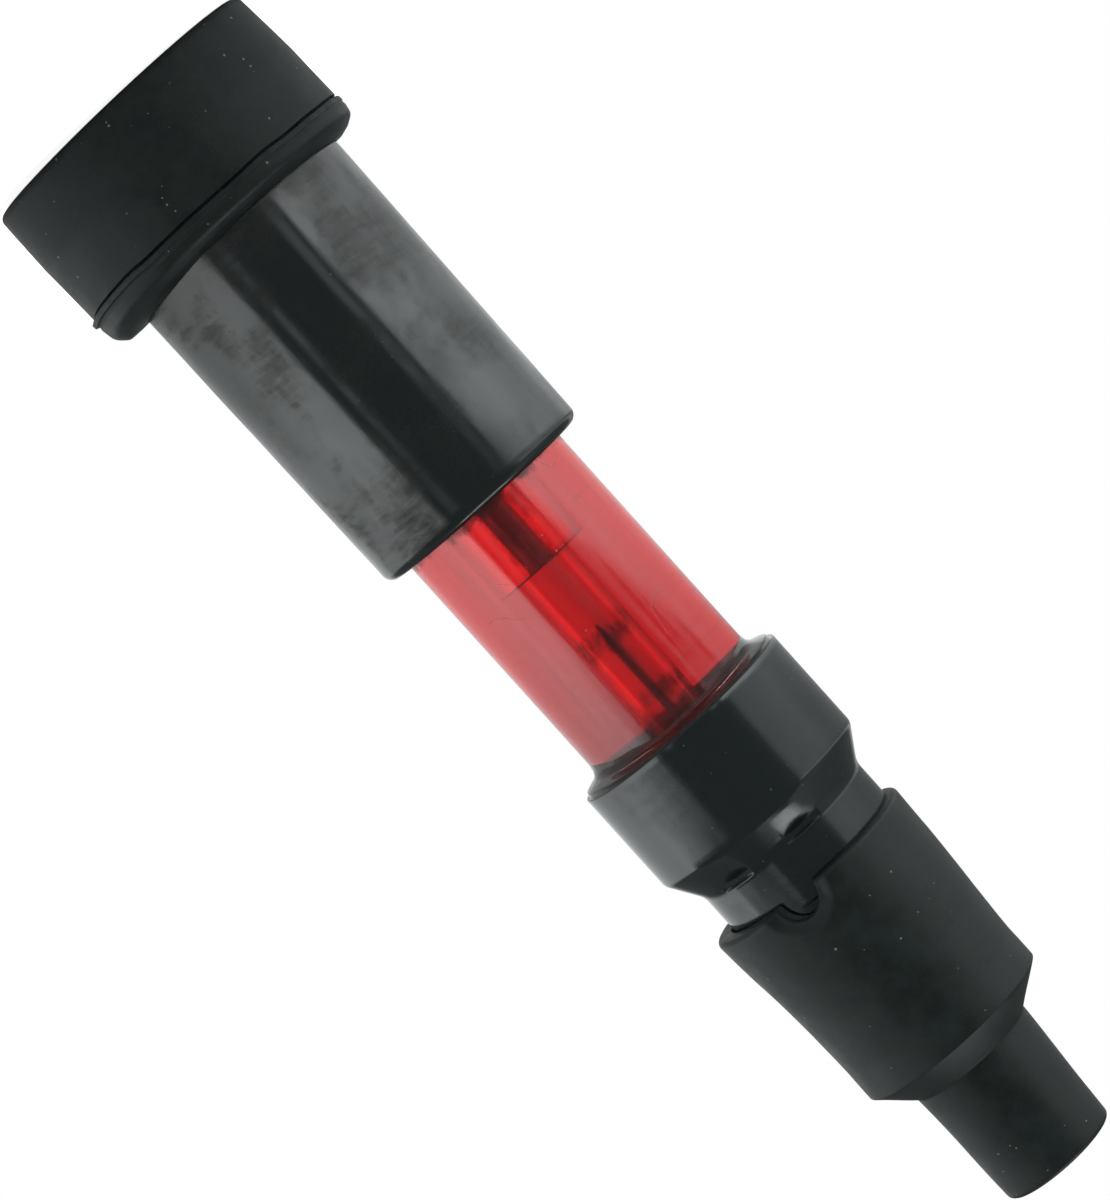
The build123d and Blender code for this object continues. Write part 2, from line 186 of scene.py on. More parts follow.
def turned(name, outline, body, node, shape=None, segments=360, step=0.5, fine=(0, 0, 1)):
    """A closed turned piece that stands for a CAD node: the outline swept round the axis.

    shape, if given, moves each point: it gets (radius, height, angle) and returns a new
    (x, y, z), all in millimetres.
    """
    points = rounded(outline, step, fine)
    verts = []
    for segment in range(segments):
        angle = 2 * math.pi * segment / segments
        for point in points:
            if shape:
                x, y, z = shape(point.x, point.y, angle)
            else:
                x, y, z = point.x * math.cos(angle), point.x * math.sin(angle), point.y
            verts.append((x * MM, y * MM, z * MM))
    count = len(points)
    faces = []
    for segment in range(segments):
        here = segment * count
        beyond = (segment + 1) % segments * count
        for index in range(count):
            after = (index + 1) % count
            faces.append((here + index, beyond + index, beyond + after, here + after))
    mesh = bpy.data.meshes.new(name)
    mesh.from_pydata(verts, [], faces)
    mesh.validate()
    mesh.shade_smooth()
    mesh.set_sharp_from_angle(angle=math.radians(40))
    piece = bpy.data.objects.new(name, mesh)
    bpy.context.scene.collection.objects.link(piece)
    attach(piece, body)
    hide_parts(node)
    return piece


def smooth_step(low, high, value):
    """0 below low, 1 above high, and an even S between them."""
    share = max(0.0, min(1.0, (value - low) / (high - low)))
    return share * share * (3 - 2 * share)


def along(table, value):
    """The value of a bent line at a height: table is (height, value) pairs in rising order."""
    for (z0, v0), (z1, v1) in zip(table, table[1:]):
        if value <= z1:
            return v0 + (v1 - v0) * smooth_step(z0, z1, max(value, z0))
    return table[-1][1]


def turn_between(angle, middle):
    """The angle from middle to angle, in radians, from -pi to pi."""
    return (angle - middle + math.pi) % (2 * math.pi) - math.pi


def unevenness(x, y, z, size, height):
    """Smooth unevenness of a moulded face: bumps of that size and height, in millimetres."""
    return height * noise.noise(Vector((x, y, z)) / size)


# ---- Settings ----
class CapSizes(bpy.types.PropertyGroup):
    """Sizes that a user would change.  The defaults fit the frame."""

    lip_proud: bpy.props.FloatProperty(
        name="Lip proud",
        description="How far the plug boot's moulding lip stands out on its worst side",
        default=0.3 * MM,
        unit="LENGTH",
    )
    boot_lean: bpy.props.FloatProperty(
        name="Plug boot lean",
        description="How far the plug boot's mouth sits off the axis",
        default=0.75 * MM,
        unit="LENGTH",
    )
    nozzle_bend: bpy.props.FloatProperty(
        name="Nozzle bend",
        description="How far the rubber nozzle's tip leans off the axis",
        default=0.88 * MM,
        unit="LENGTH",
    )
    notch_radius: bpy.props.FloatProperty(
        name="Rim notch",
        description="Radius of the half-round notch in the cable boot's rim",
        default=2.1 * MM,
        unit="LENGTH",
    )
    pocket_width: bpy.props.FloatProperty(
        name="Tool pocket width",
        description="Width round the waist of each tool pocket",
        default=3.6 * MM,
        unit="LENGTH",
    )
    key_width: bpy.props.FloatProperty(
        name="Key rib width",
        description="Width of the rib on the neck",
        default=3.0 * MM,
        unit="LENGTH",
    )


class CapColours(bpy.types.PropertyGroup):
    """Colours that a user would change."""

    rubber: bpy.props.FloatVectorProperty(
        name="Rubber",
        description="Colour of both boots",
        subtype="COLOR",
        default=linear("#1a2221"),
    )
    barrel: bpy.props.FloatVectorProperty(
        name="Barrel plastic",
        description="Colour of the plug housing",
        subtype="COLOR",
        default=linear("#151d1d"),
    )
    collar: bpy.props.FloatVectorProperty(
        name="Collar plastic",
        description="Colour of the cable housing",
        subtype="COLOR",
        default=linear("#182020"),
    )
    window: bpy.props.FloatVectorProperty(
        name="Window",
        description="Colour of the clear tube",
        subtype="COLOR",
        default=linear("#c4161b"),
    )


# ---- Materials ----
def specks(tree, place, spacing, cutoff, largest):
    """1 on small round specks, 0 elsewhere.

    Cells of that spacing hold one speck each where their random number is over the cutoff.  The
    largest speck's radius is a share of the spacing.
    """
    cells = add_node(tree, "ShaderNodeTexVoronoi", {"Vector": place, "Scale": per_metre(spacing)})
    size = add_node(
        tree,
        "ShaderNodeMapRange",
        {"Value": cells.outputs["Color"], "From Min": cutoff, "To Max": largest},
    )
    return add_node(
        tree, "ShaderNodeMath", {0: cells.outputs["Distance"], 1: size}, operation="LESS_THAN"
    )


def stretched_noise(tree, place, stretch, size, detail=4.0, roughness=0.6):
    """Noise of that size, in millimetres, with each axis scaled by stretch first."""
    mapped = add_node(tree, "ShaderNodeMapping", {"Vector": place, "Scale": stretch})
    return add_node(
        tree,
        "ShaderNodeTexNoise",
        {"Vector": mapped, "Scale": per_metre(size), "Detail": detail, "Roughness": roughness},
    )


def hairlines(tree, place, size, share):
    """1 on a few thin curved scratches, 0 elsewhere.

    They are level lines of a noise of that size, in millimetres, kept on a share of the surface.
    """
    path = stretched_noise(tree, place, (1.0, 1.0, 0.6), size, detail=1.0)
    away = distance(tree, path, 0.5)
    line = add_node(
        tree,
        "ShaderNodeMapRange",
        {"Value": away, "From Min": 0.0015, "From Max": 0.005, "To Min": 1.0, "To Max": 0.0},
        **SMOOTH,
    )
    patch = stretched_noise(tree, place, (1.0, 1.0, 1.0), size * 0.7, detail=1.0)
    kept = add_node(
        tree,
        "ShaderNodeMapRange",
        {"Value": patch, "From Min": 1 - share, "From Max": 1.02 - share},
        **SMOOTH,
    )
    return add_node(tree, "ShaderNodeMath", {0: line, 1: kept}, operation="MULTIPLY")


def epdm_rubber(colour):
    """Moulded EPDM rubber: dull black, faintly mottled, with fine grain and a little pale dust."""
    material, tree, place = new_material("moulded_epdm_rubber")
    mottle = stretched_noise(tree, place, (1.0, 1.0, 1.0), 2.5)
    grain = stretched_noise(tree, place, (1.0, 1.0, 1.0), 0.16, detail=3.0)
    shade = add_node(
        tree,
        "ShaderNodeMapRange",
        {"Value": mottle, "From Min": 0.25, "From Max": 0.75, "To Min": 0.65, "To Max": 1.45},
        **SMOOTH,
    )
    base = add_node(
        tree,
        "ShaderNodeMix",
        {0: 1.0, 6: (*colour, 1), 7: shade},
        data_type="RGBA",
        blend_type="MULTIPLY",
    )
    dust = add_node(
        tree, "ShaderNodeMath", {0: specks(tree, place, 0.8, 0.55, 0.17), 1: 0.4}, operation="MULTIPLY"
    )
    dusty = add_node(
        tree,
        "ShaderNodeMix",
        {0: dust, 6: base.outputs[2], 7: (*linear("#b9b6a8"), 1)},
        data_type="RGBA",
    )
    rough = add_node(
        tree,
        "ShaderNodeMapRange",
        {"Value": mottle, "From Min": 0.3, "From Max": 0.7, "To Min": 0.42, "To Max": 0.54},
        **SMOOTH,
    )
    bump = add_node(tree, "ShaderNodeBump", {"Height": grain, "Strength": 0.4, "Distance": 0.03 * MM})
    shader = add_node(
        tree,
        "ShaderNodeBsdfPrincipled",
        {
            "Base Color": dusty.outputs[2],
            "Roughness": rough,
            "Normal": bump,
            "IOR": 1.52,
            "Specular IOR Level": 0.26,
        },
    )
    return finished(material, shader)


def phenolic_moulding(name, colour, gloss, rubbed, rub_colour):
    """Moulded black thermoset: a smooth skin with flow streaks along the axis and rubbed clouds.

    gloss is the roughness of the clean skin, rubbed how much duller the clouds are, and
    rub_colour the colour of the rub marks.
    """
    material, tree, place = new_material(name)
    streaks = stretched_noise(tree, place, (1.0, 1.0, 0.1), 1.2, detail=5.0, roughness=0.65)
    clouds = stretched_noise(tree, place, (1.0, 1.0, 0.6), 5.0, detail=5.0, roughness=0.55)
    # Rub marks run round the axis, where the cap has been twisted in a hand or a rag.
    marks = stretched_noise(tree, place, (0.25, 0.25, 1.0), 0.7, detail=4.0)
    cloud_share = add_node(
        tree, "ShaderNodeMapRange", {"Value": clouds, "From Min": 0.38, "From Max": 0.66}, **SMOOTH
    )
    mark_share = add_node(
        tree, "ShaderNodeMapRange", {"Value": marks, "From Min": 0.28, "From Max": 0.72}, **SMOOTH
    )
    # The side on +X has been handled more than the other.
    across = add_node(tree, "ShaderNodeSeparateXYZ", {"Vector": place})
    handled = add_node(
        tree,
        "ShaderNodeMapRange",
        {"Value": across, "From Min": -6 * MM, "From Max": 2 * MM, "To Min": 0.4},
        **SMOOTH,
    )
    marked = add_node(tree, "ShaderNodeMath", {0: cloud_share, 1: mark_share}, operation="MULTIPLY")
    rub = add_node(tree, "ShaderNodeMath", {0: marked, 1: handled}, operation="MULTIPLY")
    worn = add_node(
        tree, "ShaderNodeMath", {0: cloud_share, 1: rubbed, 2: gloss}, operation="MULTIPLY_ADD"
    )
    rough = add_node(tree, "ShaderNodeMath", {0: streaks, 1: 0.08, 2: worn}, operation="MULTIPLY_ADD")
    haze = add_node(
        tree, "ShaderNodeMix", {0: rub, 6: (*colour, 1), 7: (*rub_colour, 1)}, data_type="RGBA"
    )
    dust = add_node(
        tree, "ShaderNodeMath", {0: specks(tree, place, 0.7, 0.6, 0.13), 1: 0.3}, operation="MULTIPLY"
    )
    dusty = add_node(
        tree,
        "ShaderNodeMix",
        {0: dust, 6: haze.outputs[2], 7: (*linear("#a9ad9f"), 1)},
        data_type="RGBA",
    )
    # Rub marks and dust take the shine away.
    shine = add_node(
        tree, "ShaderNodeMath", {0: rub, 1: -2.8 * rubbed, 2: 0.53}, operation="MULTIPLY_ADD"
    )
    clean_shine = add_node(tree, "ShaderNodeMath", {0: shine, 1: dust}, operation="SUBTRACT")
    bump = add_node(
        tree, "ShaderNodeBump", {"Height": streaks, "Strength": 0.25, "Distance": 0.04 * MM}
    )
    shader = add_node(
        tree,
        "ShaderNodeBsdfPrincipled",
        {
            "Base Color": dusty.outputs[2],
            "Roughness": rough,
            "Specular IOR Level": clean_shine,
            "Normal": bump,
            "IOR": 1.5,
        },
    )
    return finished(material, shader)


def red_acrylic(name, colour, scuffed):
    """Moulded clear acrylic, with drawn marks along the axis.

    scuffed is how strongly its scuffs, scratches and dust cloud it.
    """
    material, tree, place = new_material(name)
    draw_marks = stretched_noise(tree, place, (1.0, 1.0, 0.03), 0.8)
    clouds = stretched_noise(tree, place, (1.0, 1.0, 0.4), 3.5, detail=5.0)
    scuffs = stretched_noise(tree, place, (0.1, 0.1, 1.0), 0.25)
    # It is scuffed most near the collar, where a rag has turned on it.
    tube_height = add_node(tree, "ShaderNodeSeparateXYZ", {"Vector": place}).outputs["Z"]
    near_collar = add_node(
        tree,
        "ShaderNodeMapRange",
        {
            "Value": tube_height,
            "From Min": (COLLAR_FOOT - 7) * MM,
            "From Max": (COLLAR_FOOT - 2) * MM,
            "To Max": 0.14,
        },
        **SMOOTH,
    )
    cloudiness = add_node(tree, "ShaderNodeMath", {0: clouds, 1: near_collar}, operation="ADD")
    cloud_share = add_node(
        tree, "ShaderNodeMapRange", {"Value": cloudiness, "From Min": 0.42, "From Max": 0.7}, **SMOOTH
    )
    scuff_share = add_node(
        tree,
        "ShaderNodeMapRange",
        {"Value": scuffs, "From Min": 0.35, "From Max": 0.7, "To Max": 0.5},
        **SMOOTH,
    )
    streak_haze = add_node(
        tree,
        "ShaderNodeMapRange",
        {"Value": draw_marks, "From Min": 0.4, "From Max": 0.7, "To Min": 0.04, "To Max": 0.3},
        **SMOOTH,
    )
    cloudy = add_node(
        tree,
        "ShaderNodeMath",
        {0: cloud_share, 1: scuff_share, 2: streak_haze},
        operation="MULTIPLY_ADD",
    )
    dust = add_node(
        tree, "ShaderNodeMath", {0: specks(tree, place, 1.3, 0.7, 0.12), 1: 4.0}, operation="MULTIPLY"
    )
    scratch = hairlines(tree, place, 6.0, 0.42)
    marked = add_node(tree, "ShaderNodeMath", {0: dust, 1: scratch}, operation="MAXIMUM")
    haze = add_node(tree, "ShaderNodeMath", {0: cloudy, 1: marked}, operation="MAXIMUM")
    haze_share = add_node(tree, "ShaderNodeMath", {0: haze, 1: scuffed}, operation="MULTIPLY")
    rough = add_node(
        tree,
        "ShaderNodeMapRange",
        {"Value": draw_marks, "From Min": 0.3, "From Max": 0.7, "To Min": 0.05, "To Max": 0.14},
        **SMOOTH,
    )
    bump = add_node(
        tree, "ShaderNodeBump", {"Height": draw_marks, "Strength": 0.25, "Distance": 0.05 * MM}
    )
    clear = add_node(
        tree,
        "ShaderNodeBsdfPrincipled",
        {
            "Base Color": (*colour, 1),
            "Roughness": rough,
            "Normal": bump,
            "IOR": 1.47,
            "Transmission Weight": 0.97,
        },
    )
    dull = add_node(
        tree, "ShaderNodeBsdfPrincipled", {"Base Color": (*linear("#b86a6c"), 1), "Roughness": 0.6}
    )
    hazed = add_node(tree, "ShaderNodeMixShader", {0: haze_share, 1: clear, 2: dull})
    # Cement squeezed out of the barrel's mouth has dried on the tube in thin dark smears.
    near_barrel = add_node(
        tree,
        "ShaderNodeMapRange",
        {
            "Value": tube_height,
            "From Min": BARREL_TOP * MM,
            "From Max": (BARREL_TOP + 2) * MM,
            "To Min": 0.2,
            "To Max": -0.3,
        },
    )
    blots = stretched_noise(tree, place, (1.0, 1.0, 0.6), 2.2, detail=5.0)
    smears = add_node(tree, "ShaderNodeMath", {0: blots, 1: near_barrel}, operation="ADD")
    smear_share = add_node(
        tree,
        "ShaderNodeMapRange",
        {"Value": smears, "From Min": 0.52, "From Max": 0.7, "To Max": 0.7},
        **SMOOTH,
    )
    cement = add_node(
        tree, "ShaderNodeBsdfPrincipled", {"Base Color": (*linear("#4c0f14"), 1), "Roughness": 0.4}
    )
    mix = add_node(tree, "ShaderNodeMixShader", {0: smear_share, 1: hazed, 2: cement})
    return finished(material, mix)


def sooted_bore(name):
    """The bore's wall: clear acrylic with soot where sparks have struck it."""
    material, tree, place = new_material(name)
    clear = add_node(
        tree,
        "ShaderNodeBsdfPrincipled",
        {
            "Base Color": (1.0, 0.85, 0.85, 1),
            "IOR": 1.47,
            "Roughness": 0.24,
            "Transmission Weight": 1.0,
        },
    )
    height = add_node(tree, "ShaderNodeSeparateXYZ", {"Vector": place}).outputs["Z"]
    # The two sooted lengths, each as its middle and half its length in millimetres.
    lengths = []
    for middle, half in ((57.0, 2.6), (63.2, 1.8)):
        away = distance(tree, height, middle * MM)
        length = add_node(
            tree,
            "ShaderNodeMapRange",
            {"Value": away, "From Max": half * MM, "To Min": 0.2, "To Max": 0.0},
            **SMOOTH,
        )
        lengths.append(length)
    near_spark = add_node(tree, "ShaderNodeMath", {0: lengths[0], 1: lengths[1]}, operation="MAXIMUM")
    spots = stretched_noise(tree, place, (1.0, 1.0, 0.4), 1.3, detail=4.0)
    blots = add_node(tree, "ShaderNodeMath", {0: spots, 1: near_spark}, operation="ADD")
    soot_share = add_node(
        tree,
        "ShaderNodeMapRange",
        {"Value": blots, "From Min": 0.6, "From Max": 0.86, "To Max": 0.7},
        **SMOOTH,
    )
    soot = add_node(
        tree, "ShaderNodeBsdfPrincipled", {"Base Color": (*linear("#1c0a0b"), 1), "Roughness": 0.8}
    )
    mix = add_node(tree, "ShaderNodeMixShader", {0: soot_share, 1: clear, 2: soot})
    return finished(material, mix)


def resin_cement():
    """Set resin cement: a glassy, smoky fillet with trapped lumps."""
    material, tree, place = new_material("set_resin_cement")
    lumps = stretched_noise(tree, place, (1.0, 1.0, 1.0), 0.9, roughness=0.5)
    tone = add_node(
        tree,
        "ShaderNodeMix",
        {0: lumps, 6: (*linear("#b0706c"), 1), 7: (*linear("#e2c4c0"), 1)},
        data_type="RGBA",
    )
    bump = add_node(tree, "ShaderNodeBump", {"Height": lumps, "Strength": 0.5, "Distance": 0.06 * MM})
    shader = add_node(
        tree,
        "ShaderNodeBsdfPrincipled",
        {
            "Base Color": tone.outputs[2],
            "Normal": bump,
            "IOR": 1.49,
            "Roughness": 0.08,
            "Transmission Weight": 0.97,
        },
    )
    return finished(material, shader)


def turned_metal(name, colour, roughness, line_spacing):
    """Turned or drawn metal: fine lines round the axis, line_spacing millimetres apart.

    Tarnish has dulled it in patches.
    """
    material, tree, place = new_material(name)
    lines = stretched_noise(tree, place, (0.05, 0.05, 1.0), line_spacing, detail=3.0)
    rough = add_node(
        tree, "ShaderNodeMath", {0: lines, 1: 0.12, 2: roughness}, operation="MULTIPLY_ADD"
    )
    patches = stretched_noise(tree, place, (1.0, 1.0, 0.5), 1.6)
    tarnish = add_node(
        tree,
        "ShaderNodeMapRange",
        {"Value": patches, "From Min": 0.45, "From Max": 0.7, "To Max": 0.6},
        **SMOOTH,
    )
    tone = add_node(
        tree,
        "ShaderNodeMix",
        {0: tarnish, 6: (*colour, 1), 7: (*linear("#5f5148"), 1)},
        data_type="RGBA",
    )
    bump = add_node(tree, "ShaderNodeBump", {"Height": lines, "Strength": 0.2, "Distance": 0.02 * MM})
    shader = add_node(
        tree,
        "ShaderNodeBsdfPrincipled",
        {"Base Color": tone.outputs[2], "Roughness": rough, "Normal": bump, "Metallic": 1.0},
    )
    return finished(material, shader)


def unglazed_ceramic():
    """Unglazed ceramic: chalky, with a fine fired grain."""
    material, tree, place = new_material("unglazed_ceramic")
    grain = stretched_noise(tree, place, (1.0, 1.0, 1.0), 0.25, roughness=0.5)
    tone = add_node(
        tree,
        "ShaderNodeMix",
        {0: grain, 6: (*linear("#b9b0a0"), 1), 7: (*linear("#d8d2c6"), 1)},
        data_type="RGBA",
    )
    shader = add_node(
        tree, "ShaderNodeBsdfPrincipled", {"Base Color": tone.outputs[2], "Roughness": 0.8}
    )
    return finished(material, shader)


# ---- Pieces ----
class CAP_OT_plug_boot(bpy.types.Operator):
    """The rubber skirt over the plug, with its moulding lip and its rounded bead."""

    bl_idname = "cap.plug_boot"
    bl_label = "Plug boot"

    def execute(self, context):
        sizes = context.scene.cap_sizes
        lip_proud = sizes.lip_proud / MM
        lean = sizes.boot_lean / MM
        skirt = BOOT_LIP_RADIUS - 0.2
        groove = BOOT_TOP - 3.6
        bore = BARREL_RADIUS
        floor_top = BARREL_FOOT - 0.05
        bead_foot = groove + 1.0
        mouth_tilt = 0.6
        seam_rise = 0.5
        outline = [
            (SEAL_BORE, floor_top, 0.6),
            (SEAL_BORE, SKIRT_DEPTH, 0.6),
            (SKIRT_BORE, SKIRT_DEPTH, 0.4),
            (SKIRT_BORE, 0.0, 0.3),
            (skirt - 0.25, 0.0, 0.6),
            (skirt, 6.0, 8.0),
            (skirt - 0.05, groove - 0.12, 0.12),
            (skirt - 0.4, groove, 0.04),
            (skirt + 0.05, groove + 0.12, 0.06),
            (skirt + 0.06, groove + 0.5, 0.15),
            (skirt, groove + 0.66, 0.1),
            (skirt + 0.03, groove + 1.0, 0.6),
            (skirt - 0.16, groove + 2.3, 1.3),
            (skirt - 1.05, groove + 3.15, 1.2),
            (bore + 0.7, BOOT_TOP, 0.5),
            (bore + 0.05, BOOT_TOP, 0.1),
            (bore, floor_top, 0.0),
        ]

        def shape(radius, height, angle):
            outside = smooth_step(bore + 0.1, bore + 2.0, radius)
            if height < floor_top - 0.1:
                outside = 1.0
            shift = outside * lean * (1 - 0.045 * height)
            x, y = radius * math.cos(angle), radius * math.sin(angle)
            towards_plus_x = 0.5 + 0.5 * math.cos(angle)
            lip = 0.0
            if groove + 0.05 < height < groove + 0.6 and radius > skirt - 0.3:
                lip = lip_proud * (0.08 + 0.92 * towards_plus_x**3)
                lip += unevenness(x, y, height, 0.9, 0.06)
            if radius > bore + 0.5 and height > 0.05:
                radius += unevenness(x, y, height, 5.0, 0.05)
            # The moulding line wanders a little, and the bead is thicker in places.
            near_seam = 0.0
            if radius > bore + 0.01:
                near_seam = smooth_step(6.0, groove, height) * outside
            height += near_seam * unevenness(x, y, 0.0, 3.5, 0.16)
            height = min(height, BOOT_TOP + 0.25)
            height += near_seam * seam_rise * max(0.0, math.cos(angle)) ** 8
            # The bead is longest on +X, and its rim dips everywhere else.
            dip = 1.2 - 0.62 * math.cos(angle) ** 2 - 0.37 * math.cos(angle)
            height -= dip * max(0.0, height - bead_foot) / (BOOT_TOP - bead_foot)
            # The mouth is cut a little out of square.
            height += mouth_tilt * towards_plus_x * (1 - smooth_step(0, 8, height))
            radius += lip
            return radius * math.cos(angle) + shift, radius * math.sin(angle), height

        piece = turned(
            "rubber_plug_boot", outline, "plug_boot", "plug_boot", shape, step=0.4
        )
        piece.data.materials.append(epdm_rubber(context.scene.cap_colours.rubber))
        return {"FINISHED"}


class CAP_OT_barrel(bpy.types.Operator):
    """The black moulded barrel, with its mould draft, its parting line and its rounded end."""

    bl_idname = "cap.barrel"
    bl_label = "Plug housing"

    def execute(self, context):
        end_radius = BARREL_RADIUS - 0.28
        outline = [
            (INSULATOR_BORE, BARREL_FOOT, 0.5),
            (BARREL_RADIUS - 0.05, BARREL_FOOT, 0.6),
            (BARREL_RADIUS - 0.05, BOOT_TOP - 1.6, 0.0),
            (BARREL_RADIUS, BOOT_TOP - 1.45, 0.0),
            (end_radius, BARREL_TOP, 0.85),
            (SOCKET_BORE, BARREL_TOP, 0.12),
            (SOCKET_BORE, INSERT_TOP, 0.2),
            (INSERT_RADIUS, INSERT_TOP, 0.0),
            (INSERT_RADIUS, INSERT_FOOT, 0.0),
            (INSULATOR_BORE, INSERT_FOOT, 0.3),
        ]
        parting_line = math.radians(-143)

        def shape(radius, height, angle):
            if radius > SOCKET_BORE + 0.2 and height > BOOT_TOP:
                # Broad waves and fine ribs, both drawn out along the axis by the mould.
                x, y = math.cos(angle), math.sin(angle)
                radius += unevenness(3 * x, 3 * y, height / 5, 1.0, 0.02)
                radius += unevenness(9 * x, 9 * y, height / 14, 1.0, 0.007)
                beside = abs(turn_between(angle, parting_line)) * radius
                far_beside = abs(turn_between(angle, parting_line + math.pi)) * radius
                radius += 0.03 * (1 - smooth_step(0.0, 0.16, min(beside, far_beside)))
            return radius * math.cos(angle), radius * math.sin(angle), height

        piece = turned(
            "barrel", outline, "cap", "plug_housing", shape, segments=480
        )
        colour = context.scene.cap_colours.barrel
        piece.data.materials.append(
            phenolic_moulding("rubbed_phenolic", colour, 0.09, 0.16, linear("#2c2e2b"))
        )
        return {"FINISHED"}


class CAP_OT_window(bpy.types.Operator):
    """The clear red tube, with the stepped bore that holds the resistor and the spark gap."""

    bl_idname = "cap.window"
    bl_label = "Red window"

    def execute(self, context):
        outline = [
            (RESISTOR_BORE, TUBE_FOOT, 0.1),
            (TUBE_RADIUS, TUBE_FOOT, 0.2),
            (TUBE_RADIUS, TUBE_TOP, 0.2),
            (SCREW_POCKET, TUBE_TOP, 0.1),
            (SCREW_POCKET, SCREW_POCKET_FOOT, 0.1),
            (GAP_BORE, SCREW_POCKET_FOOT, 0.1),
            (GAP_BORE, RESISTOR_TOP + 0.05, 0.1),
            (RESISTOR_BORE, RESISTOR_TOP + 0.05, 0.1),
        ]
        piece = turned("red_window", outline, "cap", "indicator_window")
        # Light takes its colour between the two walls, so only the outer wall is tinted.
        piece.data.materials.append(
            red_acrylic("clear_red_acrylic", context.scene.cap_colours.window, 0.3)
        )
        piece.data.materials.append(sooted_bore("acrylic_bore_wall"))
        for face in piece.data.polygons:
            if math.hypot(face.center.x, face.center.y) < (SCREW_POCKET + 0.2) * MM:
                face.material_index = 1
        return {"FINISHED"}


class CAP_OT_resin(bpy.types.Operator):
    """The resin in the corner between the tube and the collar, drawn up unevenly."""

    bl_idname = "cap.resin"
    bl_label = "Window cement"

    def execute(self, context):
        outline = [
            (TUBE_RADIUS + 0.01, RESIN_FOOT, 0.0),
            (TUBE_RADIUS + 0.1, RESIN_FOOT + 0.5, 0.3),
            (TUBE_RADIUS + 0.3, RESIN_FOOT + 1.1, 1.0),
            (RESIN_RADIUS - 0.1, RESIN_TOP - 0.4, 0.25),
            (RESIN_RADIUS, RESIN_TOP, 0.0),
            (TUBE_RADIUS + 0.01, RESIN_TOP, 0.0),
        ]

        def shape(radius, height, angle):
            # It climbed the tube most on the two sides that face +X and -X.
            climb = 0.36 + 0.54 * abs(math.cos(angle)) ** 1.5 + 0.05 * math.cos(angle)
            climb += 0.1 * noise.noise(Vector((math.cos(angle), math.sin(angle), 0)) * 2.5)
            height = RESIN_TOP - (RESIN_TOP - height) * min(1.0, climb)
            return radius * math.cos(angle), radius * math.sin(angle), height

        piece = turned("resin_fillet", outline, "cap", "window_cement", shape, step=0.15)
        piece.data.materials.append(resin_cement())
        return {"FINISHED"}


class CAP_OT_collar(bpy.types.Operator):
    """The glossy collar and neck, with the tool pockets at the waist and the key rib."""

    bl_idname = "cap.collar"
    bl_label = "Cable housing"

    def execute(self, context):
        sizes = context.scene.cap_sizes
        pocket_half = sizes.pocket_width / MM / 2
        key_half = sizes.key_width / MM / 2
        collar_top = COLLAR_FOOT + 9.3
        waist = COLLAR_FOOT + 12.1
        neck = COLLAR_RADIUS - 1.78
        neck_top = SLEEVE_FOOT + 2.0
        spigot = 7.0
        pocket_top = waist + 0.15
        pocket_ramp = 2.4
        pocket_depth = 0.3
        key_top = SLEEVE_FOOT + 1.5
        key_angle = math.radians(-81)
        key_proud = 0.1
        pocket_angles = [math.radians(a) for a in (-100, -49.5, 80, 130.5)]
        outline = [
            (TUBE_RADIUS + 0.05, COLLAR_FOOT, 0.05),
            (COLLAR_RADIUS, COLLAR_FOOT, 0.12),
            (COLLAR_RADIUS, collar_top, 1.0),
            (neck, waist, 1.8),
            (neck, neck_top + 0.5, 0.3),
            (spigot, neck_top + 3.0, 0.3),
            (spigot, SPIGOT_TOP, 0.6),
            (LEAD_BORE, SPIGOT_TOP, 0.6),
            (LEAD_BORE, LEAD_FLOOR, 0.3),
            (SCREW_HOLE, LEAD_FLOOR, 0.0),
            (SCREW_HOLE, TUBE_TOP, 0.0),
            (TUBE_RADIUS + 0.05, TUBE_TOP, 0.1),
        ]

        def shape(radius, height, angle):
            if radius > spigot + 0.4:
                beside = abs(turn_between(angle, key_angle)) * neck
                rib = (1 - smooth_step(key_half - 0.8, key_half + 0.3, beside)) * (
                    1 - smooth_step(key_top - 0.3, key_top, height)
                )
                rib_radius = neck + key_proud
                if collar_top < height and radius < rib_radius:
                    radius += (rib_radius - radius) * rib
                reach = max(0.0, min(1.0, 1 - (pocket_top - height) / pocket_ramp))
                scoop = reach**1.3 * (
                    1 - smooth_step(pocket_top - 0.05, pocket_top + 0.2, height)
                )
                for middle in pocket_angles:
                    across = turn_between(angle, middle) * neck / pocket_half
                    radius -= pocket_depth * scoop * max(0.0, 1 - across * across) ** 0.8
            return radius * math.cos(angle), radius * math.sin(angle), height

        piece = turned(
            "glossy_collar",
            outline,
            "cap",
            "cable_housing",
            shape,
            segments=720,
            fine=(pocket_top - pocket_ramp - 0.2, key_top + 0.3, 0.08),
        )
        colour = context.scene.cap_colours.collar
        piece.data.materials.append(
            phenolic_moulding("glossy_phenolic", colour, 0.07, 0.045, linear("#1a1f20"))
        )
        return {"FINISHED"}


